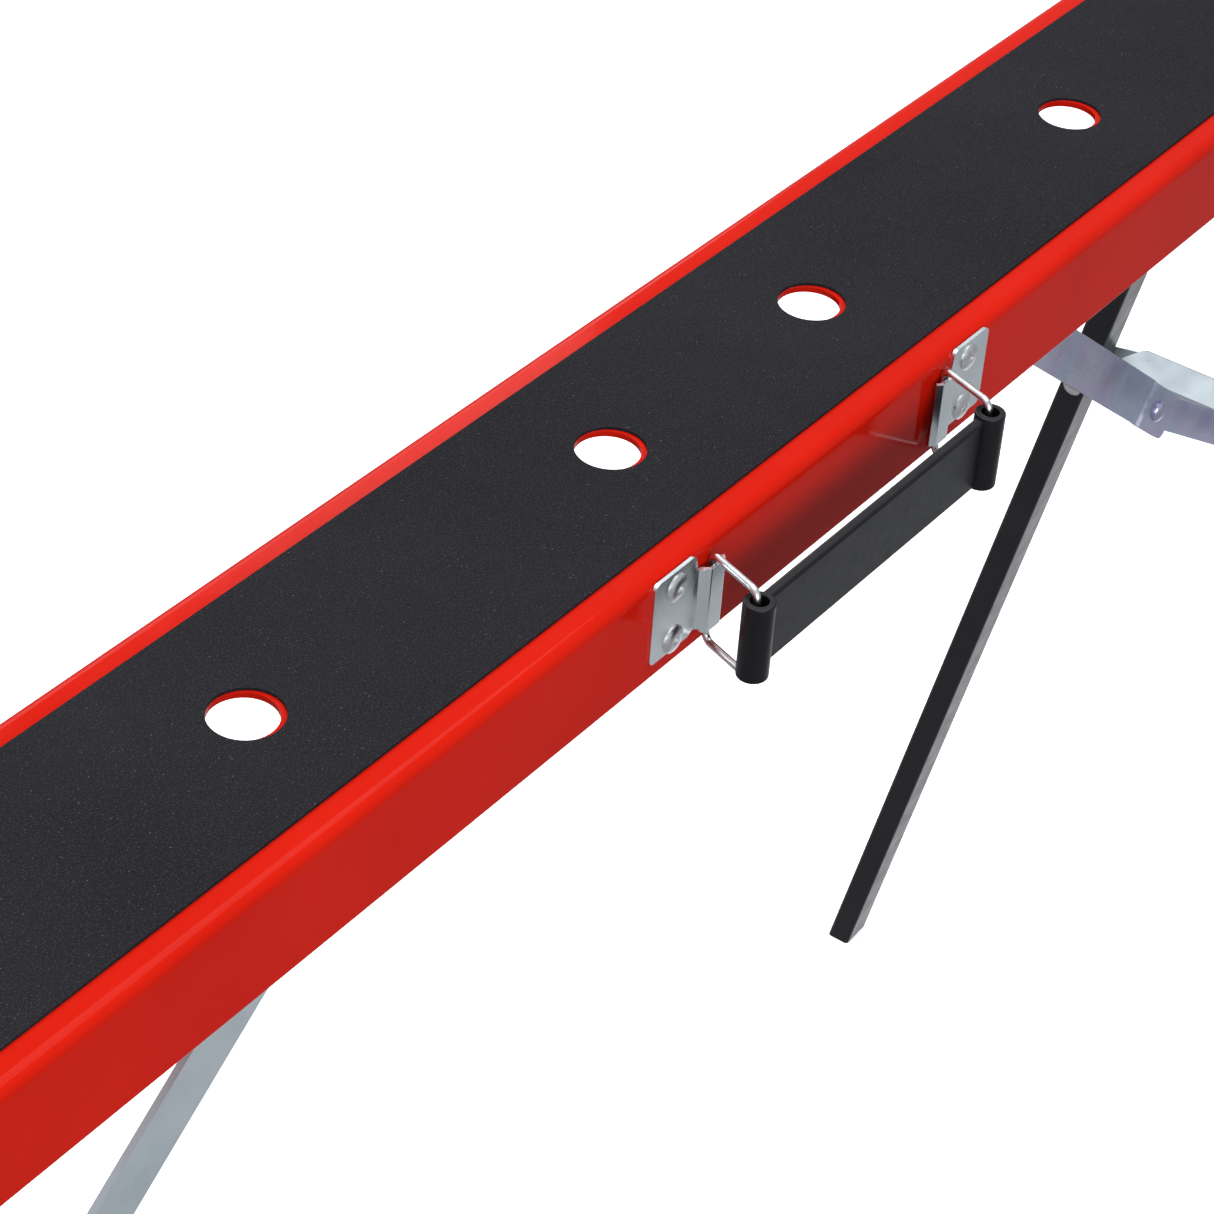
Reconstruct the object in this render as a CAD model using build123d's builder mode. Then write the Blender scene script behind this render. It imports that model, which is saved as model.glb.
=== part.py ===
from build123d import *

import os
from math import atan, cos, hypot, radians, sin

# A folding sawhorse. Millimetres, +Z up, X along the beam, origin on the floor under the
# beam's middle. "Right" is the +X end, "front" is the -Y side that carries the handle.
# Each piece of the right end is made once, and the left end's is its reflection.

# Beam: a channel of folded sheet, open below, with a strip of grip tape on top
HEIGHT = 800.0
GRIP = 1.0
GRIP_LENGTH = 1030.0
GRIP_WIDTH = 80.0
GRIP_CORNER = 4.0
GRIP_HOLE = 11.4
GRIP_SHIFT = (0.55, -0.7)
BEAM_TOP = HEIGHT - GRIP
BEAM_LENGTH = 1040.0
BEAM_WIDTH = 100.0
BEAM_DEPTH = 38.0
SHEET = 2.0
BEND = 4.0
RIM_ROUND = 0.8
DOG_HOLE = 10.5
DOG_HOLE_X = (-224.5, -55.8, 55.8, 224.5)
BEAM_UNDERSIDE = BEAM_TOP - SHEET
SIDE_FACE = -BEAM_WIDTH / 2

# Leg frame: two splayed tubes and a cross-bar, turning on an axle below the beam's rim
AXLE_X = 475.0
AXLE_Z = HEIGHT - 52.0
AXLE_RADIUS = 4.0
AXLE_REACH = 53.7
AXLE_HEAD_RADIUS = 8.0
AXLE_HEAD = 4.0
RUNNING = 0.05
LEG_Y = 44.4
SPREAD_X = 0.1382
SPREAD_Y = 0.2497
LEG_WIDTH = 21.8
LEG_THICKNESS = 13.4
LEG_WALL = 1.5
LEG_CORNER = 2.2
LEG_ABOVE_AXLE = 8.0
LEG_TOP_ROUND = 12.2
LEG_BLANK = 820.0
PLUG_LENGTH = 22.0
PLUG_GAP = 0.1
SPLAY = atan(SPREAD_X)

# Cross-bar: an angle behind the legs, its top flange turned in between them
BAR_TOP = 235.5
BAR_BOTTOM = 268.5
BAR_SHEET = 2.0
BAR_FLANGE_REACH = -8.0
BAR_FLANGE_HALF = 81.0
BAR_HALF = 116.0
BAR_TAB_FALL = 7.0
BAR_RIVET = 256.0
BAR_RIVET_Y = 107.5

# Knee brace: two flat bars between a bracket under the beam and a lug on the cross-bar
BRACE_TOP = (123.3, HEIGHT - 16.0)
KNEE = (351.0, HEIGHT - 195.0)
LOWER_LENGTH = 168.0
LOWER_SLOPE = 33.3
BAR_STOCK = 2.5
UPPER_WIDTH = 20.0
UPPER_BEYOND = 18.0
UPPER_END_ROUND = 4.0
JOGGLE_START = 26.0
JOGGLE_END = 14.0
LOWER_WIDTH = 15.0
LINK_GAP = 0.3
EAR = 2.0
PIN_RADIUS = 3.0
PIN_HEAD = 4.6
PIN_DOME = 2.2
BRACE_FOOT = (
    KNEE[0] + LOWER_LENGTH * cos(radians(LOWER_SLOPE)),
    KNEE[1] - LOWER_LENGTH * sin(radians(LOWER_SLOPE)),
)
UPPER_BACK = -BAR_STOCK
LOWER_FRONT = LINK_GAP

# Handle: two wire bails in riveted brackets, joined by a moulded strap
BRACKET_SHEET = 1.2
BRACKET_TOP = HEIGHT - 2.5
BRACKET_BOTTOM = HEIGHT - 32.5
SADDLE_TOP = HEIGHT - 8.5
LEFT_BRACKET_X = -101.0
RIGHT_BRACKET_X = 87.0
BRACKET_RIVET = 11.7
HANDLE_RIVET_Z = (HEIGHT - 9.0, HEIGHT - 28.5)
BLIND_RIVET_RADIUS = 2.4
BLIND_HEAD = 4.75
BLIND_DOME = 1.4
BLIND_RECESS_RADIUS = 1.5
BLIND_RECESS = 0.8
WIRE_RADIUS = 1.25
WIRE_BEND = 3.2
WIRE_X = (-72.0, 59.5)
WIRE_Y = SIDE_FACE - 1.6
WIRE_TOP = HEIGHT - 6.0
WIRE_BOTTOM = HEIGHT - 38.4
WIRE_REACH = 22.3
WIRE_LEAN = radians(18.0)
BARREL_RADIUS = 5.1
BARREL_BORE = 3.1
BARREL_X = (-79.2, 51.8)
BARREL_Y = -73.9
BARREL_BOTTOM = HEIGHT - 36.4
BARREL_LENGTH = 28.0
STRAP_THICKNESS = 3.9
STRAP_HEIGHT = 26.0
STRAP_OFFSET = 0.95
STRAP_ROUND = 1.2


def frame_profile(y=0.0):
    """Plane across the right leg frame: x is outward from it, y is down it, from the axle."""
    return Plane(origin=(AXLE_X, y, AXLE_Z), x_dir=(cos(SPLAY), 0, sin(SPLAY)), z_dir=(0, 1, 0))


def upright(y):
    """Vertical plane along the beam at one y, with x along the beam and its normal to -Y."""
    return Plane(origin=(0, y, 0), x_dir=(1, 0, 0), z_dir=(0, -1, 0))


def on_frame(point):
    """A point given as (x, z) in the frame_profile plane's own coordinates."""
    dx = point[0] - AXLE_X
    dz = point[1] - AXLE_Z
    return (dx * cos(SPLAY) + dz * sin(SPLAY), dx * sin(SPLAY) - dz * cos(SPLAY))


def rivet_head(seat, out, radius, height):
    """A low domed head standing on a seat point, its crown toward the direction `out`."""
    base = Plane(origin=seat, z_dir=out)
    side = Plane(origin=seat, x_dir=base.x_dir, z_dir=base.x_dir.cross(base.z_dir))
    with BuildPart() as head:
        with BuildSketch(side):
            with BuildLine():
                foot = Line((0, 0), (radius, 0))
                edge = Line(foot @ 1, (radius, 0.25 * height))
                crown = ThreePointArc(
                    edge @ 1, (0.72 * radius, 0.8 * height), (0.4 * radius, height)
                )
                top = Line(crown @ 1, (0, height))
                Line(top @ 1, foot @ 0)
            make_face()
        revolve(axis=Axis(seat, out))
    return head.part


def handle_rivet_places():
    """The (x, z) of each blind rivet that holds a handle bracket."""
    columns = (LEFT_BRACKET_X + BRACKET_RIVET, RIGHT_BRACKET_X - BRACKET_RIVET)
    return [(x, z) for x in columns for z in HANDLE_RIVET_Z]


def beam_channel():
    with BuildPart() as channel:
        with BuildSketch(Plane.YZ) as section:
            with Locations((0, BEAM_TOP - BEAM_DEPTH / 2)):
                Rectangle(BEAM_WIDTH, BEAM_DEPTH)
            fillet(section.vertices().group_by(Axis.Y)[-1], BEND)
        extrude(amount=BEAM_LENGTH / 2, both=True)
        with BuildSketch(Plane.YZ) as hollow:
            with Locations((0, BEAM_UNDERSIDE - BEAM_DEPTH / 2)):
                Rectangle(BEAM_WIDTH - 2 * SHEET, BEAM_DEPTH)
            fillet(hollow.vertices().group_by(Axis.Y)[-1], BEND - SHEET)
        extrude(amount=BEAM_LENGTH / 2, both=True, mode=Mode.SUBTRACT)
        fillet(channel.edges().filter_by(Axis.X).group_by(Axis.Z)[0], RIM_ROUND)
        with BuildSketch(Plane.XY.offset(BEAM_UNDERSIDE)):
            with Locations(*[(x, 0) for x in DOG_HOLE_X]):
                Circle(DOG_HOLE)
        extrude(amount=SHEET, mode=Mode.SUBTRACT)
        with BuildSketch(Plane.XZ.offset(-SIDE_FACE - SHEET)):
            with Locations(*handle_rivet_places()):
                Circle(BLIND_RIVET_RADIUS)
        extrude(amount=SHEET, mode=Mode.SUBTRACT)
    return channel


def grip_strip():
    with BuildPart() as strip:
        with BuildSketch(Plane.XY.offset(BEAM_TOP)):
            RectangleRounded(GRIP_LENGTH, GRIP_WIDTH, GRIP_CORNER)
            with Locations(*[(x + GRIP_SHIFT[0], GRIP_SHIFT[1]) for x in DOG_HOLE_X]):
                Circle(GRIP_HOLE, mode=Mode.SUBTRACT)
        extrude(amount=GRIP)
    return strip


def hinge_bracket():
    """A saddle under the beam, with an ear inside each leg that carries the axle."""
    length = 40.0
    ear_face = 32.0
    ear_sheet = 3.0
    ear_round = 11.0
    with BuildPart() as bracket:
        with BuildSketch(Plane.XZ.offset(-ear_face)):
            with Locations((AXLE_X, AXLE_Z)):
                Circle(ear_round)
            with BuildLine():
                Polyline(
                    (AXLE_X - ear_round, AXLE_Z),
                    (AXLE_X - length / 2, BEAM_UNDERSIDE - 14),
                    (AXLE_X - length / 2, BEAM_UNDERSIDE),
                    (AXLE_X + length / 2, BEAM_UNDERSIDE),
                    (AXLE_X + length / 2, BEAM_UNDERSIDE - 14),
                    (AXLE_X + ear_round, AXLE_Z),
                    close=True,
                )
            make_face()
        extrude(amount=2 * ear_face)
        with BuildSketch(Plane.YZ.offset(AXLE_X - length)) as gap:
            with Locations((0, BEAM_UNDERSIDE - ear_sheet - BEAM_DEPTH)):
                Rectangle(2 * (ear_face - ear_sheet), 2 * BEAM_DEPTH)
            fillet(gap.vertices().group_by(Axis.Y)[-1], ear_sheet)
        extrude(amount=2 * length, mode=Mode.SUBTRACT)
        with BuildSketch(Plane.XZ.offset(-ear_face)):
            with Locations((AXLE_X, AXLE_Z)):
                Circle(AXLE_RADIUS)
        extrude(amount=2 * ear_face, mode=Mode.SUBTRACT)
    return bracket


def leg_axle():
    """A plain rod through both ears and both legs, headed over at its ends."""
    heads = [
        rivet_head((AXLE_X, way * AXLE_REACH, AXLE_Z), (0, way, 0), AXLE_HEAD_RADIUS, AXLE_HEAD)
        for way in (-1, 1)
    ]
    with BuildPart() as axle:
        with BuildSketch(Plane.XZ.offset(-AXLE_REACH)):
            with Locations((AXLE_X, AXLE_Z)):
                Circle(AXLE_RADIUS)
        extrude(amount=2 * AXLE_REACH)
        add(heads)
    return axle


def leg_plane():
    """Plane across the right rear leg at the axle, with its normal down the leg."""
    down = (SPREAD_X, SPREAD_Y, -1.0)
    return Plane(origin=(AXLE_X, LEG_Y, AXLE_Z), x_dir=(cos(SPLAY), 0, sin(SPLAY)), z_dir=down)


def leg():
    """The right rear leg: a rectangular tube, cut level where it meets the floor."""
    with BuildPart() as tube:
        with BuildSketch(leg_plane().offset(-LEG_ABOVE_AXLE)):
            RectangleRounded(LEG_WIDTH, LEG_THICKNESS, LEG_CORNER)
            RectangleRounded(
                LEG_WIDTH - 2 * LEG_WALL,
                LEG_THICKNESS - 2 * LEG_WALL,
                LEG_CORNER - LEG_WALL,
                mode=Mode.SUBTRACT,
            )
        extrude(amount=LEG_BLANK)
        split(bisect_by=Plane.XY, keep=Keep.TOP)
        with BuildSketch(Plane.XZ.offset(-LEG_Y)):
            with Locations((AXLE_X, AXLE_Z)):
                Circle(AXLE_RADIUS + RUNNING)
        extrude(amount=LEG_THICKNESS, both=True, mode=Mode.SUBTRACT)
        # The top corners are rounded off about the axle, to turn clear of the beam's rim
        with BuildSketch(Plane.XZ.offset(-LEG_Y)):
            with Locations((AXLE_X, AXLE_Z + LEG_WIDTH / 2)):
                Rectangle(2 * LEG_WIDTH, LEG_WIDTH)
            with Locations((AXLE_X, AXLE_Z)):
                Circle(LEG_TOP_ROUND, mode=Mode.SUBTRACT)
        extrude(amount=LEG_THICKNESS, both=True, mode=Mode.SUBTRACT)
        with BuildSketch(rivet_plane()):
            Circle(BLIND_RIVET_RADIUS)
        extrude(amount=LEG_WIDTH, both=True, mode=Mode.SUBTRACT)
    return tube


def foot_plug():
    """A moulded plug inside the foot of the right rear leg, flush with its cut end."""
    with BuildPart() as plug:
        with BuildSketch(leg_plane().offset(-LEG_ABOVE_AXLE)):
            RectangleRounded(
                LEG_WIDTH - 2 * (LEG_WALL + PLUG_GAP),
                LEG_THICKNESS - 2 * (LEG_WALL + PLUG_GAP),
                LEG_CORNER - LEG_WALL,
            )
        extrude(amount=LEG_BLANK)
        split(bisect_by=Plane.XY, keep=Keep.TOP)
        split(bisect_by=Plane.XY.offset(PLUG_LENGTH), keep=Keep.BOTTOM)
    return plug


def rivet_plane():
    """Plane of a cross-bar rivet at the right rear leg, normal outward from the frame."""
    profile = frame_profile(BAR_RIVET_Y)
    centre = profile.from_local_coords((0, BAR_RIVET))
    return Plane(origin=centre, x_dir=(0, 1, 0), z_dir=profile.x_dir)


def cross_bar():
    back = LEG_WIDTH / 2
    with BuildPart() as bar:
        with BuildSketch(frame_profile(-BAR_HALF)) as section:
            with BuildLine():
                Polyline(
                    (back, BAR_BOTTOM),
                    (back, BAR_TOP + BAR_SHEET),
                    (BAR_FLANGE_REACH, BAR_TOP + BAR_SHEET),
                    (BAR_FLANGE_REACH, BAR_TOP),
                    (back + BAR_SHEET, BAR_TOP),
                    (back + BAR_SHEET, BAR_BOTTOM),
                    close=True,
                )
            make_face()
            outer = section.vertices().sort_by(Axis.X)[-2:].sort_by(Axis.Y)[0]
            fillet(outer, BAR_SHEET)
        extrude(amount=2 * BAR_HALF)
        # The top flange stops short of the legs, cut back on a slant at each end
        for way in (-1, 1):
            with BuildSketch(Plane(frame_profile().from_local_coords((0, BAR_TOP + BAR_SHEET)),
                                   x_dir=frame_profile().x_dir, z_dir=(-sin(SPLAY), 0, cos(SPLAY)))):
                with BuildLine():
                    Polyline(
                        (back + BAR_SHEET, way * BAR_FLANGE_HALF),
                        (BAR_FLANGE_REACH - 1, way * (BAR_FLANGE_HALF + 11)),
                        (BAR_FLANGE_REACH - 1, way * (BAR_HALF + 1)),
                        (back + BAR_SHEET, way * (BAR_HALF + 1)),
                        close=True,
                    )
                make_face()
            extrude(amount=BAR_SHEET + 1, mode=Mode.SUBTRACT)
        # Past the flange, each end tapers down toward its leg
        inner_face = frame_profile().from_local_coords((back, 0))
        with BuildSketch(Plane(origin=inner_face, x_dir=(0, 1, 0), z_dir=frame_profile().x_dir)):
            for way in (-1, 1):
                with BuildLine():
                    Polyline(
                        (way * BAR_FLANGE_HALF, BAR_SHEET - BAR_TOP + 10),
                        (way * BAR_FLANGE_HALF, -BAR_SHEET - BAR_TOP),
                        (way * (BAR_HALF + 1), -BAR_SHEET - BAR_TOP - BAR_TAB_FALL),
                        (way * (BAR_HALF + 1), BAR_SHEET - BAR_TOP + 10),
                        close=True,
                    )
                make_face()
        extrude(amount=2 * BAR_SHEET, mode=Mode.SUBTRACT)
        with BuildSketch(rivet_plane()):
            Circle(BLIND_RIVET_RADIUS)
            with Locations((-2 * BAR_RIVET_Y, 0)):
                Circle(BLIND_RIVET_RADIUS)
        extrude(amount=LEG_WIDTH, mode=Mode.SUBTRACT)
    return bar


def cross_bar_rivets():
    """One long rivet through each leg and the cross-bar, headed on both faces."""
    inner = rivet_plane().offset(-LEG_WIDTH / 2)
    outer = rivet_plane().offset(LEG_WIDTH / 2 + BAR_SHEET)
    heads = [
        rivet_head(inner.origin, -inner.z_dir, BLIND_HEAD, BLIND_DOME),
        rivet_head(outer.origin, outer.z_dir, BLIND_HEAD, BLIND_DOME),
    ]
    with BuildPart() as rivets:
        with BuildSketch(inner):
            Circle(BLIND_RIVET_RADIUS)
        extrude(amount=LEG_WIDTH + BAR_SHEET)
        add(heads)
        mirror(about=Plane.XZ)
    return rivets


def brace_bracket():
    """A small clevis under the beam that holds the upper link's end."""
    length = 26.0
    web = 1.6
    inner = UPPER_BACK + LINK_GAP
    outer = UPPER_BACK - BAR_STOCK - LINK_GAP
    middle = (inner + outer) / 2
    with BuildPart() as bracket:
        with BuildSketch(upright(inner + EAR)):
            with Locations(BRACE_TOP):
                Circle(8.0)
            with Locations((BRACE_TOP[0], (BRACE_TOP[1] + BEAM_UNDERSIDE) / 2)):
                Rectangle(length - 10, BEAM_UNDERSIDE - BRACE_TOP[1])
        extrude(amount=inner - outer + 2 * EAR)
        with BuildSketch(upright(inner)):
            with Locations(BRACE_TOP):
                Rectangle(2 * length, 2 * (BEAM_UNDERSIDE - web - BRACE_TOP[1]))
        extrude(amount=inner - outer, mode=Mode.SUBTRACT)
        with BuildSketch(Plane.XY.offset(BEAM_UNDERSIDE - web)):
            with Locations((BRACE_TOP[0], middle)):
                RectangleRounded(length, inner - outer + 2 * EAR + 10, 3)
        extrude(amount=web)
        with BuildSketch(upright(inner + EAR)):
            with Locations(BRACE_TOP):
                Circle(PIN_RADIUS)
        extrude(amount=inner - outer + 2 * EAR, mode=Mode.SUBTRACT)
    return bracket


def pin(point, back, front):
    """A riveted pin along Y at one (x, z), between its two heads' seats."""
    heads = [
        rivet_head((point[0], back, point[1]), (0, 1, 0), PIN_HEAD, PIN_DOME),
        rivet_head((point[0], front, point[1]), (0, -1, 0), PIN_HEAD, PIN_DOME),
    ]
    with BuildPart() as rivet:
        with BuildSketch(upright(back)):
            with Locations(point):
                Circle(PIN_RADIUS)
        extrude(amount=back - front)
        add(heads)
    return rivet


def one_headed_rivet(point, seat, face):
    """A rivet along Y with one head on its seat, and its shank cut flush with the far face."""
    out = (0, 1, 0) if seat > face else (0, -1, 0)
    head = rivet_head((point[0], seat, point[1]), out, PIN_HEAD, PIN_DOME)
    with BuildPart() as rivet:
        with BuildSketch(upright(max(seat, face))):
            with Locations(point):
                Circle(PIN_RADIUS)
        extrude(amount=abs(seat - face))
        add(head)
    return rivet


def upper_link():
    """Flat bar from the beam to the knee, stepped back where it overlaps the lower bar."""
    run = hypot(KNEE[0] - BRACE_TOP[0], KNEE[1] - BRACE_TOP[1])
    along = ((KNEE[0] - BRACE_TOP[0]) / run, 0, (KNEE[1] - BRACE_TOP[1]) / run)
    face_on = Plane(origin=(BRACE_TOP[0], 0, BRACE_TOP[1]), x_dir=along, z_dir=(0, -1, 0))
    edge_on = Plane(
        origin=(BRACE_TOP[0], 0, BRACE_TOP[1]), x_dir=along, z_dir=(along[2], 0, -along[0])
    ).offset(-UPPER_WIDTH)
    step = BAR_STOCK
    with BuildPart() as bar:
        with BuildSketch(edge_on) as profile:
            with BuildLine():
                Polyline(
                    (-UPPER_WIDTH, 2 * step),
                    (run - JOGGLE_START, 2 * step),
                    (run - JOGGLE_END, step),
                    (run + UPPER_BEYOND, step),
                    (run + UPPER_BEYOND, 0),
                    (run - JOGGLE_END - 1, 0),
                    (run - JOGGLE_START - 1, step),
                    (-UPPER_WIDTH, step),
                    close=True,
                )
            make_face()
            bends = [
                v for v in profile.vertices() if run - JOGGLE_START - 2 < v.X < run - JOGGLE_END + 1
            ]
            fillet(bends, 1.5)
        extrude(amount=2 * UPPER_WIDTH)
        with BuildSketch(face_on) as outline:
            Circle(UPPER_WIDTH / 2)
            with Locations(((run + UPPER_BEYOND) / 2, 0)):
                Rectangle(run + UPPER_BEYOND, UPPER_WIDTH)
            fillet(outline.vertices().group_by(Axis.X)[-1], UPPER_END_ROUND)
            Circle(PIN_RADIUS + RUNNING, mode=Mode.SUBTRACT)
            with Locations((run, 0)):
                Circle(PIN_RADIUS, mode=Mode.SUBTRACT)
        extrude(amount=UPPER_WIDTH, both=True, mode=Mode.INTERSECT)
    return bar


def lower_link():
    middle = ((KNEE[0] + BRACE_FOOT[0]) / 2, (KNEE[1] + BRACE_FOOT[1]) / 2)
    with BuildPart() as bar:
        with BuildSketch(upright(LOWER_FRONT + BAR_STOCK)):
            with Locations(middle):
                SlotOverall(LOWER_LENGTH + LOWER_WIDTH, LOWER_WIDTH, rotation=-LOWER_SLOPE)
            with Locations(KNEE):
                Circle(PIN_RADIUS, mode=Mode.SUBTRACT)
            with Locations(BRACE_FOOT):
                Circle(PIN_RADIUS + RUNNING, mode=Mode.SUBTRACT)
        extrude(amount=BAR_STOCK)
    return bar


def brace_lug():
    """A clevis on the cross-bar's inner face, reaching past the flange to the lower pin."""
    ear_round = 7.5
    front = LOWER_FRONT - LINK_GAP - EAR
    back = LOWER_FRONT + BAR_STOCK + LINK_GAP + EAR
    foot = on_frame(BRACE_FOOT)
    elbow = (-15.0, 249.0)
    face = LEG_WIDTH / 2
    seat_top = BAR_TOP + BAR_SHEET + 1.0
    seat_bottom = BAR_BOTTOM - 3.0
    with BuildPart() as lug:
        with BuildSketch(frame_profile(front)):
            for first, second in ((foot, elbow), (elbow, (face - 8.0, 252.0))):
                with BuildLine(mode=Mode.PRIVATE) as pair:
                    CenterArc(first, ear_round, 0, 360)
                    CenterArc(second, ear_round, 0, 360)
                make_hull(pair.edges())
            with Locations((face - 1, (seat_top + seat_bottom) / 2)):
                Rectangle(2, seat_bottom - seat_top)
        extrude(amount=back - front)
        with BuildSketch(frame_profile(front + EAR)):
            with Locations((foot[0] - 22, foot[1])):
                Rectangle(2 * (face - EAR - foot[0] + 22), 120)
        extrude(amount=back - front - 2 * EAR, mode=Mode.SUBTRACT)
        with BuildSketch(frame_profile(front - 8)):
            with Locations((face - EAR / 2, (seat_top + seat_bottom) / 2)):
                Rectangle(EAR, seat_bottom - seat_top)
        extrude(amount=back - front + 16)
        with BuildSketch(frame_profile(front)):
            with Locations(foot):
                Circle(PIN_RADIUS)
        extrude(amount=back - front, mode=Mode.SUBTRACT)
    return lug


def handle_bracket():
    """The left bracket: a riveted plate whose inner strip is raised over the wire."""
    ramp = 22.7
    crest = 25.2
    end = 33.9
    rise = 4.4
    lift = rise - BRACKET_SHEET
    low = BRACKET_BOTTOM - HEIGHT
    high = BRACKET_TOP - HEIGHT
    step = SADDLE_TOP - HEIGHT
    face = Plane(
        origin=(LEFT_BRACKET_X, SIDE_FACE, HEIGHT), x_dir=(1, 0, 0), z_dir=(0, -1, 0)
    )
    edge = Plane(
        origin=(LEFT_BRACKET_X, SIDE_FACE, BRACKET_BOTTOM), x_dir=(1, 0, 0), z_dir=(0, 0, -1)
    )
    with BuildPart() as bracket:
        with BuildSketch(edge) as profile:
            with BuildLine():
                Polyline(
                    (0, 0),
                    (0, BRACKET_SHEET),
                    (ramp, BRACKET_SHEET),
                    (crest, rise),
                    (end - 1.8, rise),
                    (end, rise - 1.6),
                    (end - 0.9, rise - 2.5),
                    (end - 2.3, lift),
                    (crest + 0.6, lift),
                    (ramp + 0.6, 0),
                    close=True,
                )
            make_face()
            bends = [v for v in profile.vertices() if ramp - 1 < v.X < end - 1.6]
            fillet(bends, 0.6)
        extrude(amount=-(high - low))
        with BuildSketch(face) as outline:
            with BuildLine():
                Polyline(
                    (0, low),
                    (0, high),
                    (ramp - 1.6, high),
                    (ramp - 0.4, step - 0.6),
                    (ramp + 0.9, step - 0.6),
                    (ramp + 1.4, step),
                    (end + 1, step),
                    (end + 1, low),
                    (ramp + 1.4, low),
                    (ramp + 0.9, low + 1.2),
                    (ramp - 1.2, low + 1.2),
                    (ramp - 3.0, low),
                    close=True,
                )
            make_face()
            corners = [v for v in outline.vertices() if v.X < 1]
            fillet(corners, 2.5)
            shoulder = [v for v in outline.vertices() if v.Y > high - 0.1 and v.X > ramp - 3]
            fillet(shoulder, 2.2)
        extrude(amount=2 * rise, both=True, mode=Mode.INTERSECT)
        with BuildSketch(face):
            with Locations(*[(BRACKET_RIVET, z - HEIGHT) for z in HANDLE_RIVET_Z]):
                Circle(BLIND_RIVET_RADIUS)
        extrude(amount=rise, both=True, mode=Mode.SUBTRACT)
    return bracket


def handle_rivets():
    """Four blind rivets: a domed head with a sunk middle, and a stem that swells behind the sheet."""
    seat = SIDE_FACE - BRACKET_SHEET
    stem = BRACKET_SHEET + SHEET
    heads = [
        rivet_head((x, seat, z), (0, -1, 0), BLIND_HEAD, BLIND_DOME)
        for x, z in handle_rivet_places()
    ]
    with BuildPart() as rivets:
        for x, z in handle_rivet_places():
            with BuildSketch(Plane(origin=(x, seat, z), x_dir=(1, 0, 0), z_dir=(0, 0, 1))):
                with BuildLine():
                    Polyline(
                        (0, 0),
                        (BLIND_RIVET_RADIUS, 0),
                        (BLIND_RIVET_RADIUS, stem),
                        (BLIND_RIVET_RADIUS + 1.2, stem),
                        (BLIND_RIVET_RADIUS + 0.6, stem + 4),
                        (0, stem + 4),
                        close=True,
                    )
                make_face()
            revolve(axis=Axis((x, seat, z), (0, 1, 0)))
        add(heads)
        with BuildSketch(Plane.XZ.offset(BLIND_DOME - BLIND_RECESS - seat)):
            with Locations(*handle_rivet_places()):
                Circle(BLIND_RECESS_RADIUS)
        extrude(amount=BLIND_RECESS, mode=Mode.SUBTRACT)
    return rivets


def wire_link(x):
    """A closed rectangular bail of round wire, leaning toward the left end."""
    out = Vector(-sin(WIRE_LEAN), -cos(WIRE_LEAN), 0)
    middle = (WIRE_TOP + WIRE_BOTTOM) / 2
    plane = Plane(
        origin=Vector(x, WIRE_Y, middle) + out * (WIRE_REACH / 2),
        x_dir=out,
        z_dir=out.cross(Vector(0, 0, 1)),
    )
    half_height = (WIRE_TOP - WIRE_BOTTOM) / 2
    half_reach = WIRE_REACH / 2
    with BuildPart() as wire:
        with BuildLine(plane) as path:
            FilletPolyline(
                (half_reach, 0),
                (half_reach, half_height),
                (-half_reach, half_height),
                (-half_reach, -half_height),
                (half_reach, -half_height),
                (half_reach, 0.01),
                radius=WIRE_BEND,
            )
        with BuildSketch(Plane(origin=path.line @ 0, z_dir=path.line % 0)):
            Circle(WIRE_RADIUS)
        sweep(path=path.line)
    return wire


def handle_strap():
    web_y = BARREL_Y + STRAP_OFFSET
    middle = (BARREL_X[0] + BARREL_X[1]) / 2
    low = BARREL_BOTTOM + (BARREL_LENGTH - STRAP_HEIGHT) / 2
    with BuildPart() as strap:
        with BuildSketch(Plane.XY.offset(low)):
            with Locations((middle, web_y)):
                Rectangle(BARREL_X[1] - BARREL_X[0], STRAP_THICKNESS)
        extrude(amount=STRAP_HEIGHT)
        fillet(strap.edges().filter_by(Axis.X), STRAP_ROUND)
        with BuildSketch(Plane.XY.offset(BARREL_BOTTOM)):
            with Locations(*[(x, BARREL_Y) for x in BARREL_X]):
                Circle(BARREL_RADIUS)
        extrude(amount=BARREL_LENGTH)
        rims = strap.edges().filter_by(GeomType.CIRCLE).filter_by(
            lambda e: abs(e.radius - BARREL_RADIUS) < 0.01
        )
        fillet(rims.group_by(Axis.Z)[0] + rims.group_by(Axis.Z)[-1], 0.6)
        with BuildSketch(Plane.XY.offset(BARREL_BOTTOM)):
            with Locations(*[(x, BARREL_Y) for x in BARREL_X]):
                Circle(BARREL_BORE)
        extrude(amount=BARREL_LENGTH, mode=Mode.SUBTRACT)
    return strap


def reflected(source, plane):
    """The same piece on the other side of a plane."""
    with BuildPart() as piece:
        mirror(source.part, about=plane)
    return piece


def save(name, piece):
    piece.part.label = name
    export_step(piece.part, "parts/" + name + ".step")


def save_pair(name, piece):
    """The right end's piece, and its reflection for the left end."""
    save(name + "_right", piece)
    save(name + "_left", reflected(piece, Plane.YZ))


os.makedirs("parts", exist_ok=True)

save("beam_channel", beam_channel())
save("grip_strip", grip_strip())
save_pair("hinge_bracket", hinge_bracket())
save_pair("leg_axle", leg_axle())

for name, maker in (("leg", leg), ("foot_plug", foot_plug)):
    rear = maker()
    save_pair(name + "_rear", rear)
    save_pair(name + "_front", reflected(rear, Plane.XZ))

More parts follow.
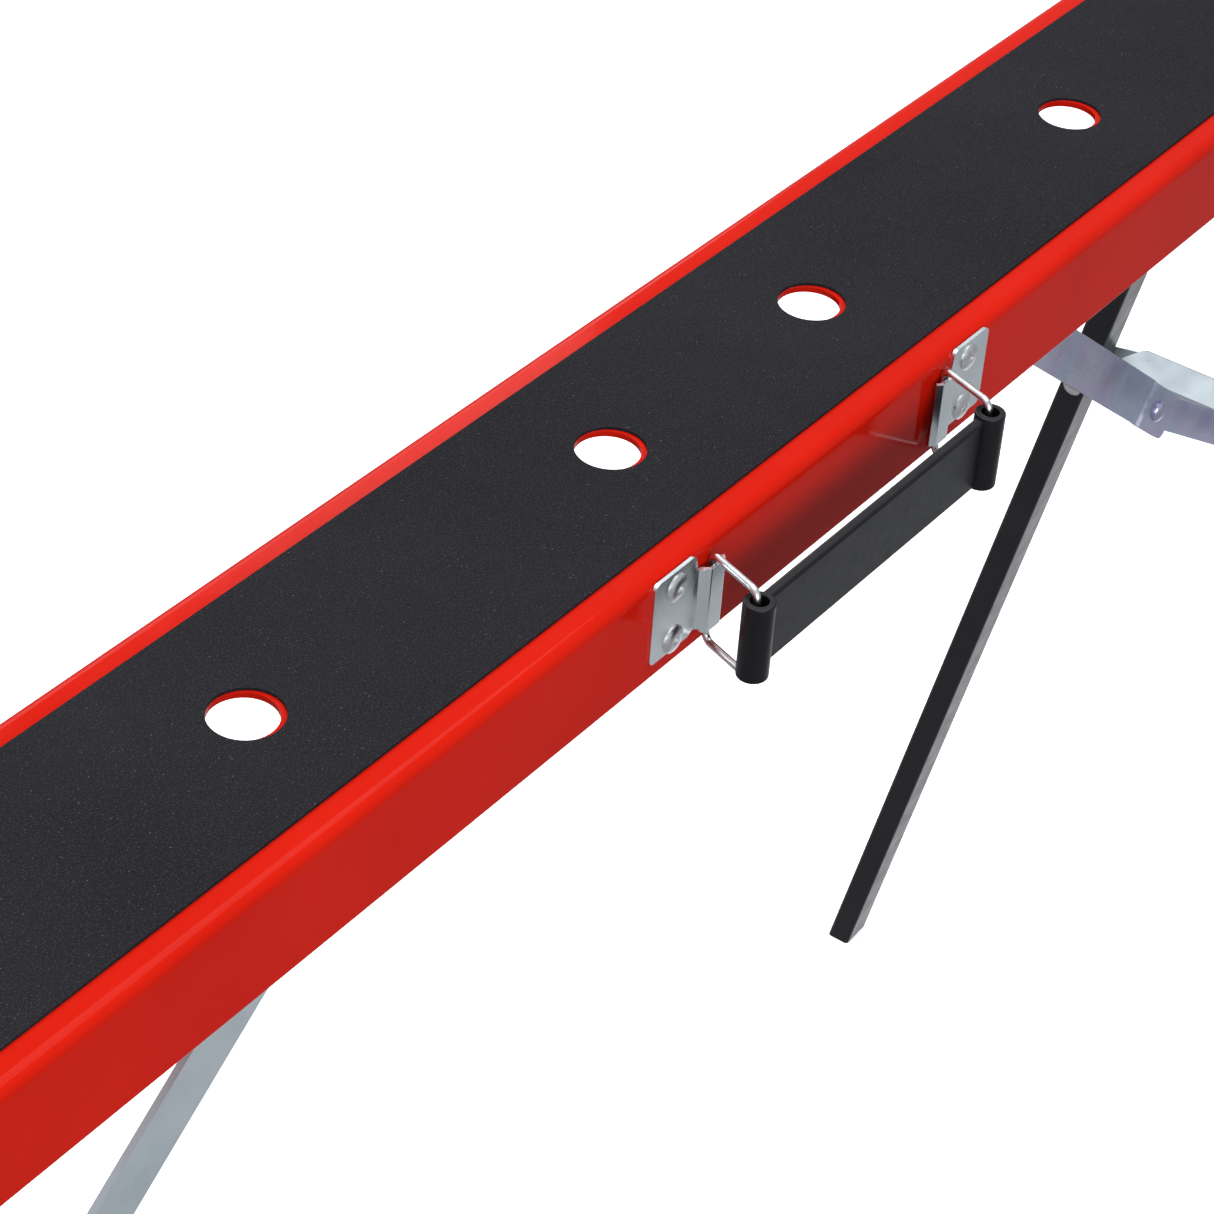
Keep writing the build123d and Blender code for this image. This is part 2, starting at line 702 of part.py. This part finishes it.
save_pair("cross_bar", cross_bar())
save_pair("cross_bar_rivets", cross_bar_rivets())
save_pair("brace_bracket", brace_bracket())
save_pair("brace_pin", pin(BRACE_TOP, UPPER_BACK + LINK_GAP + EAR,
                           UPPER_BACK - BAR_STOCK - LINK_GAP - EAR))
save_pair("upper_link", upper_link())
save_pair("knee_rivet_front", one_headed_rivet(KNEE, -BAR_STOCK, 0.0))
save_pair("lower_link", lower_link())
save_pair("knee_rivet_back", one_headed_rivet(KNEE, LOWER_FRONT + BAR_STOCK, LOWER_FRONT))
save_pair("brace_lug", brace_lug())
# The lug pin has no front head, so the upper link folds down past it
save_pair("lug_pin", one_headed_rivet(BRACE_FOOT, LOWER_FRONT + BAR_STOCK + LINK_GAP + EAR,
                                      LOWER_FRONT - LINK_GAP - EAR))

left_bracket = handle_bracket()
save("handle_bracket_left", left_bracket)
across = Plane.YZ.offset((LEFT_BRACKET_X + RIGHT_BRACKET_X) / 2)
save("handle_bracket_right", reflected(left_bracket, across))
save("handle_rivets", handle_rivets())
save("wire_link_left", wire_link(WIRE_X[0]))
save("wire_link_right", wire_link(WIRE_X[1]))
save("handle_strap", handle_strap())
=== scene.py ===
"""Looks for the folding sawhorse: materials, grip strip, light and camera round the CAD frame."""
import math

import bpy
from mathutils import Matrix, Vector

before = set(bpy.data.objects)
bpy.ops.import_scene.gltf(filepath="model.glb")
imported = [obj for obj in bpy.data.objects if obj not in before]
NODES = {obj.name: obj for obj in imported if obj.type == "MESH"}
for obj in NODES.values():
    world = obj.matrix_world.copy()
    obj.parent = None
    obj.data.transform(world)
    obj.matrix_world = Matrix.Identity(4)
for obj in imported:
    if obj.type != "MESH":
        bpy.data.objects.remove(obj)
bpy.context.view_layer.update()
SIDES = ("left", "right")

# The colour sockets of a Mix node share their names with its other types, so they go by place
MIX_FIRST_COLOUR = 6
MIX_SECOND_COLOUR = 7
MIX_COLOUR_RESULT = 2
SHARPEST_EDGE = 0.35


# ---- Shader building -------------------------------------------------------------------


class Shader:
    """A material being built: a Principled shader, object-space coordinates, and wiring helpers."""

    def __init__(self, name, **constants):
        self.material = bpy.data.materials.new(name)
        self.material.use_nodes = True
        self.tree = self.material.node_tree
        self.bsdf = self.tree.nodes["Principled BSDF"]
        for socket, value in constants.items():
            self.bsdf.inputs[socket.replace("_", " ")].default_value = value
        self.coords = self.node("ShaderNodeTexCoord").outputs["Object"]

    def node(self, kind, **settings):
        made = self.tree.nodes.new(kind)
        for key, value in settings.items():
            setattr(made, key, value)
        return made

    def wire(self, source, target):
        if isinstance(source, bpy.types.NodeSocket):
            self.tree.links.new(source, target)
        else:
            target.default_value = source

    def stretch(self, scale):
        """Object coordinates scaled on each axis, for grain that runs one way."""
        mapping = self.node("ShaderNodeMapping")
        self.wire(self.coords, mapping.inputs["Vector"])
        mapping.inputs["Scale"].default_value = scale
        return mapping.outputs["Vector"]

    def noise(self, scale, detail=3.0, roughness=0.55, vector=None, distortion=0.0):
        made = self.node("ShaderNodeTexNoise")
        self.wire(vector or self.coords, made.inputs["Vector"])
        made.inputs["Scale"].default_value = scale
        made.inputs["Detail"].default_value = detail
        made.inputs["Roughness"].default_value = roughness
        made.inputs["Distortion"].default_value = distortion
        return made.outputs["Fac"]

    def cells(self, scale):
        """Distance from the nearest of many scattered points, for grains and specks."""
        made = self.node("ShaderNodeTexVoronoi")
        self.wire(self.coords, made.inputs["Vector"])
        made.inputs["Scale"].default_value = scale
        return made.outputs["Distance"]

    def span(self, value, low, high, to_low=0.0, to_high=1.0):
        made = self.node("ShaderNodeMapRange", clamp=True)
        self.wire(value, made.inputs["Value"])
        for key, number in (("From Min", low), ("From Max", high), ("To Min", to_low), ("To Max", to_high)):
            made.inputs[key].default_value = number
        return made.outputs["Result"]

    def math(self, operation, a, b):
        made = self.node("ShaderNodeMath", operation=operation)
        self.wire(a, made.inputs[0])
        self.wire(b, made.inputs[1])
        return made.outputs["Value"]

    def mix(self, factor, a, b):
        made = self.node("ShaderNodeMix", data_type="RGBA")
        self.wire(factor, made.inputs["Factor"])
        self.wire(a, made.inputs[MIX_FIRST_COLOUR])
        self.wire(b, made.inputs[MIX_SECOND_COLOUR])
        return made.outputs[MIX_COLOUR_RESULT]

    def ramp(self, value, stops):
        made = self.node("ShaderNodeValToRGB")
        self.wire(value, made.inputs["Fac"])
        elements = made.color_ramp.elements
        while len(elements) < len(stops):
            elements.new(0.5)
        for element, (position, colour) in zip(elements, stops):
            element.position = position
            element.color = (*colour, 1.0)
        return made.outputs["Color"]

    def bump(self, height, distance, strength, after=None):
        made = self.node("ShaderNodeBump")
        self.wire(height, made.inputs["Height"])
        made.inputs["Distance"].default_value = distance
        made.inputs["Strength"].default_value = strength
        if after is not None:
            self.wire(after, made.inputs["Normal"])
        return made.outputs["Normal"]

    def edges(self, radius):
        """About 1 on sharp outside edges and 0 on flat faces."""
        bevel = self.node("ShaderNodeBevel", samples=4)
        bevel.inputs["Radius"].default_value = radius
        geometry = self.node("ShaderNodeNewGeometry")
        dot = self.node("ShaderNodeVectorMath", operation="DOT_PRODUCT")
        self.wire(bevel.outputs["Normal"], dot.inputs[0])
        self.wire(geometry.outputs["Normal"], dot.inputs[1])
        return self.span(self.math("SUBTRACT", 1.0, dot.outputs["Value"]), 0.0, SHARPEST_EDGE)

    def to(self, **sockets):
        for socket, value in sockets.items():
            self.wire(value, self.bsdf.inputs[socket.replace("_", " ")])
        return self.material


def colour(r, g, b):
    return (r, g, b, 1.0)


def red_paint():
    s = Shader("red_paint", IOR=1.15)
    cloud = s.noise(14, 4)
    tone = s.mix(s.span(cloud, 0.3, 0.7), colour(0.50, 0.0085, 0.0022), colour(0.56, 0.0110, 0.0032))
    # Painted highlight: sharp edges turned a paler red in noisy patches, standing in for light caught on
    # the rounded edges.
    edge_highlight = s.math("MULTIPLY", s.edges(0.0006), s.span(s.noise(160, 4), 0.45, 0.62, 0.1, 0.7))
    tone = s.mix(edge_highlight, tone, colour(0.62, 0.050, 0.032))
    specks = s.span(s.cells(260), 0.0, 0.05, 0.3, 0.0)
    rare = s.math("MULTIPLY", specks, s.span(s.noise(40, 1), 0.66, 0.7))
    tone = s.mix(rare, tone, colour(0.8, 0.3, 0.25))
    peel = s.bump(s.noise(520, 2), 0.00005, 0.2)
    dents = s.bump(s.noise(38, 2), 0.0003, 0.1, peel)
    roughness = s.span(s.noise(60, 4), 0.3, 0.7, 0.06, 0.11)
    return s.to(Base_Color=tone, Roughness=roughness, Normal=dents)


def grip_tape():
    s = Shader("grip_tape", IOR=1.18)
    grains = s.cells(1500)
    fine = s.noise(1800, 2)
    cloud = s.noise(11, 5, 0.6)
    tone = s.mix(s.span(cloud, 0.3, 0.72), colour(0.0080, 0.0076, 0.0098), colour(0.0125, 0.0118, 0.0148))
    tone = s.mix(s.span(fine, 0.54, 0.75, 0.0, 0.7), tone, colour(0.075, 0.072, 0.085))
    tone = s.mix(s.span(grains, 0.0, 0.2, 0.6, 0.0), tone, colour(0.004, 0.004, 0.005))
    glint = s.math("MULTIPLY", s.span(s.cells(600), 0.03, 0.1, 1.0, 0.0),
                   s.span(s.noise(300, 1), 0.52, 0.6))
    tone = s.mix(glint, tone, colour(0.30, 0.29, 0.32))
    rough = s.span(fine, 0.3, 0.7, 0.6, 0.86)
    grit = s.bump(grains, 0.00022, 0.6)
    grit = s.bump(fine, 0.00014, 0.6, grit)
    return s.to(Base_Color=tone, Roughness=rough, Normal=grit)


def black_paint():
    s = Shader("black_paint", IOR=1.345)
    cloud = s.span(s.noise(24, 4), 0.3, 0.7)
    tone = s.mix(cloud, colour(0.0090, 0.0088, 0.0112), colour(0.0145, 0.0140, 0.0180))
    # Painted highlight: sharp edges of the black paint turned grey in noisy patches, standing in for the
    # rim reflection.
    edge_highlight = s.math("MULTIPLY", s.edges(0.0008), s.span(s.noise(120, 4), 0.42, 0.6, 0.05, 0.5))
    tone = s.mix(edge_highlight, tone, colour(0.10, 0.10, 0.11))
    peel = s.bump(s.noise(700, 2), 0.00006, 0.4)
    roughness = s.span(s.noise(90, 3), 0.3, 0.7, 0.24, 0.34)
    return s.to(Base_Color=tone, Roughness=roughness, Normal=peel)


def black_plastic():
    s = Shader("black_plastic", IOR=1.33)
    cloud = s.span(s.noise(60, 3), 0.3, 0.7)
    tone = s.mix(cloud, colour(0.0040, 0.0041, 0.0058), colour(0.0068, 0.0070, 0.0092))
    # Painted highlight: sharp edges of the plastic turned grey in noisy patches, standing in for the thin
    # bright edge line.
    edge_highlight = s.math("MULTIPLY", s.edges(0.0005), s.span(s.noise(300, 3), 0.4, 0.6, 0.1, 0.5))
    tone = s.mix(edge_highlight, tone, colour(0.045, 0.046, 0.052))
    grain = s.bump(s.noise(2200, 2), 0.00005, 0.35)
    flow = s.bump(s.noise(120, 2, vector=s.stretch((0.25, 1, 1))), 0.00012, 0.3, grain)
    roughness = s.span(s.noise(200, 3), 0.3, 0.7, 0.3, 0.4)
    return s.to(Base_Color=tone, Roughness=roughness, Normal=flow)


def zinc(name, stops, rough_low, rough_high, along):
    """Bright zinc plate: tinted passivation in soft patches, with rolling marks along one axis; the stops
    passed in can also carry painted light and shade, and the edges a painted highlight.
    """
    s = Shader(name, Metallic=1.0)
    tint = s.ramp(s.noise(15, 3, 0.55, distortion=0.5), stops)
    patch = s.span(s.noise(45, 3, 0.5), 0.4, 0.75, 0.0, 0.3)
    tone = s.mix(patch, tint, colour(0.92, 0.94, 0.96))
    # Painted highlight: sharp edges turned near white in noisy patches.
    edge_highlight = s.math("MULTIPLY", s.edges(0.0003), s.span(s.noise(120, 2), 0.4, 0.6, 0.25, 0.55))
    tone = s.mix(edge_highlight, tone, colour(0.92, 0.94, 0.95))
    lines = s.noise(500, 1, vector=s.stretch(along))
    marks = s.bump(lines, 0.00002, 0.1)
    marks = s.bump(s.noise(26, 1), 0.0004, 0.08, marks)
    roughness = s.span(s.noise(60, 2), 0.3, 0.72, rough_low, rough_high)
    return s.to(Base_Color=tone, Roughness=roughness, Normal=marks)


def wire_metal():
    s = Shader("wire_metal", Metallic=1.0)
    tone = s.mix(s.span(s.noise(180, 3), 0.3, 0.7), colour(0.62, 0.63, 0.66), colour(0.78, 0.79, 0.81))
    drawn = s.bump(s.noise(500, 1, vector=s.stretch((1, 1, 0.2))), 0.00002, 0.08)
    return s.to(Base_Color=tone, Roughness=s.span(s.noise(200, 2), 0.3, 0.7, 0.24, 0.32), Normal=drawn)


def rivet_metal():
    s = Shader("rivet_metal", Metallic=1.0)
    tone = s.mix(s.span(s.noise(500, 3), 0.3, 0.7), colour(0.66, 0.67, 0.68), colour(0.84, 0.845, 0.85))
    pits = s.bump(s.noise(1500, 3), 0.00006, 0.5)
    return s.to(Base_Color=tone, Roughness=s.span(s.noise(600, 3), 0.3, 0.7, 0.24, 0.4), Normal=pits)


PALE = ((0.25, (0.70, 0.79, 0.82)), (0.5, (0.78, 0.86, 0.89)), (0.8, (0.84, 0.89, 0.91)))
# Painted shade and reflection: violet stops that darken the right links as if they mirrored a dark room.
VIOLET = (
    (0.25, (0.44, 0.56, 0.70)),
    (0.42, (0.52, 0.58, 0.78)),
    (0.52, (0.60, 0.55, 0.76)),
    (0.62, (0.52, 0.47, 0.72)),
    (0.78, (0.48, 0.62, 0.78)),
)
# Painted light: a paler, brighter copy of the zinc for the left links, as lit from below left.
ICE = ((0.2, (0.76, 0.88, 0.94)), (0.5, (0.82, 0.92, 0.97)), (0.8, (0.86, 0.94, 0.98)))
CYAN = ((0.2, (0.60, 0.70, 0.76)), (0.5, (0.68, 0.77, 0.82)), (0.8, (0.74, 0.80, 0.86)))

RED = red_paint()
GRIP = grip_tape()
BLACK = black_paint()
PLASTIC = black_plastic()
ZINC = zinc("zinc_plate", PALE, 0.2, 0.34, (1, 1, 0.15))
ZINC_SHADED_LINK = zinc("zinc_shaded_links", VIOLET, 0.2, 0.32, (0.2, 1, 1))
ZINC_LIT_LINK = zinc("zinc_lit_links", ICE, 0.24, 0.36, (0.2, 1, 1))
ZINC_BAR = zinc("zinc_bar", CYAN, 0.26, 0.38, (1, 0.15, 1))
WIRE = wire_metal()
RIVET = rivet_metal()

FINISHES = {
    "beam_channel": RED,
    "grip_strip": GRIP,
    "handle_rivets": RIVET,
    "handle_strap": PLASTIC,
}
for side in SIDES:
    for piece in ("leg_front", "leg_rear"):
        FINISHES[f"{piece}_{side}"] = BLACK
    for piece in ("foot_plug_front", "foot_plug_rear"):
        FINISHES[f"{piece}_{side}"] = PLASTIC
    for piece in ("hinge_bracket", "leg_axle", "brace_bracket", "brace_pin", "handle_bracket"):
        FINISHES[f"{piece}_{side}"] = ZINC
    # Painted light and shade: the same links take a lit copy of the zinc on the left side and a shaded copy
    # on the right.
    for piece in ("upper_link", "lower_link", "knee_rivet_front", "knee_rivet_back"):
        FINISHES[f"{piece}_{side}"] = ZINC_SHADED_LINK if side == "right" else ZINC_LIT_LINK
    for piece in ("cross_bar", "brace_lug", "lug_pin"):
        FINISHES[f"{piece}_{side}"] = ZINC_BAR
    FINISHES[f"cross_bar_rivets_{side}"] = RIVET
    FINISHES[f"wire_link_{side}"] = WIRE

for name, node in NODES.items():
    node.data.materials.clear()
    node.data.materials.append(FINISHES[name])


# ---- Stage -----------------------------------------------------------------------------


def floor():
    """A wide pale floor with faint unevenness."""
    mesh = bpy.data.meshes.new("floor")
    reach = 14.0
    corners = [(x * reach, y * reach, 0) for x, y in ((-1, -1), (1, -1), (1, 1), (-1, 1))]
    mesh.from_pydata(corners, [], [(0, 1, 2, 3)])
    made = bpy.data.objects.new("floor", mesh)
    bpy.context.scene.collection.objects.link(made)
    s = Shader("floor_white", Roughness=0.9, Emission_Strength=0.6, Emission_Color=colour(1, 1, 1))
    tone = s.mix(s.span(s.noise(1.2, 3), 0.3, 0.7), colour(0.90, 0.90, 0.905), colour(0.93, 0.93, 0.93))
    mesh.materials.append(s.to(Base_Color=tone))
    made.visible_glossy = False
    made.visible_diffuse = False


def softbox(name, place, target, width, height, power):
    data = bpy.data.lights.new(name, "AREA")
    data.shape = "RECTANGLE"
    data.size = width
    data.size_y = height
    data.energy = power
    lamp = bpy.data.objects.new(name, data)
    lamp.location = place
    lamp.rotation_mode = "QUATERNION"
    lamp.rotation_quaternion = (Vector(target) - Vector(place)).to_track_quat("-Z", "Y")
    bpy.context.scene.collection.objects.link(lamp)


def studio():
    """Even white light from a soft room, dimmer below, with one bright card low beyond the right end."""
    world = bpy.data.worlds.new("studio")
    world.use_nodes = True
    tree = world.node_tree
    background = tree.nodes["Background"]
    coords = tree.nodes.new("ShaderNodeTexCoord")

    def ramp_of(source, low, high, to_low, to_high):
        made = tree.nodes.new("ShaderNodeMapRange")
        made.interpolation_type = "SMOOTHSTEP"
        tree.links.new(source, made.inputs["Value"])
        for key, number in (("From Min", low), ("From Max", high), ("To Min", to_low), ("To Max", to_high)):
            made.inputs[key].default_value = number
        return made.outputs["Result"]

    def toward(direction):
        made = tree.nodes.new("ShaderNodeVectorMath")
        made.operation = "DOT_PRODUCT"
        tree.links.new(coords.outputs["Generated"], made.inputs[0])
        made.inputs[1].default_value = direction
        return made.outputs["Value"]

    def plus(a, b):
        made = tree.nodes.new("ShaderNodeMath")
        tree.links.new(a, made.inputs[0])
        tree.links.new(b, made.inputs[1])
        return made.outputs["Value"]

    room = ramp_of(toward((0, 0, 1)), -0.25, 0.35, 0.36, 0.55)
    card = ramp_of(toward((0.66, -0.05, -0.75)), 0.93, 0.985, 0.0, 0.75)
    tree.links.new(plus(room, card), background.inputs["Strength"])
    background.inputs["Color"].default_value = (0.94, 0.96, 1.0, 1.0)
    bpy.context.scene.world = world
    softbox("top_box", (0.1, 0.3, 3.2), (0, 0, 0.6), 3.2, 2.4, 66)
    softbox("front_box", (-1.4, -3.0, 2.2), (0, 0, 0.7), 2.2, 1.6, 28)
    softbox("near_box", (-1.0, -1.2, 1.1), (-0.2, 0, 0.76), 0.8, 0.6, 8)
    softbox("back_box", (1.6, 2.6, 2.4), (0, 0, 0.7), 2.4, 1.4, 26)


def camera():
    """The camera looks down along the beam from beyond its left end, on the handle's side."""
    place = (-0.7570, -0.4770, 1.3921)
    azimuth, elevation, roll = (math.radians(a) for a in (-56.0, 37.63, 4.19))
    back = Vector((
        math.sin(azimuth) * math.cos(elevation),
        -math.cos(azimuth) * math.cos(elevation),
        math.sin(elevation),
    ))
    right = (-back).cross(Vector((0, 0, 1))).normalized()
    up = right.cross(-back)
    across = right * math.cos(roll) + up * math.sin(roll)
    upward = -right * math.sin(roll) + up * math.cos(roll)
    data = bpy.data.cameras.new("camera")
    data.lens = 99.52
    data.sensor_width = 36.0
    data.clip_start = 0.01
    made = bpy.data.objects.new("camera", data)
    turn = Matrix((across, upward, back)).transposed().to_4x4()
    made.matrix_world = Matrix.Translation(place) @ turn
    bpy.context.scene.collection.objects.link(made)
    bpy.context.scene.camera = made


floor()
studio()
camera()
bpy.context.scene.view_settings.view_transform = "Standard"
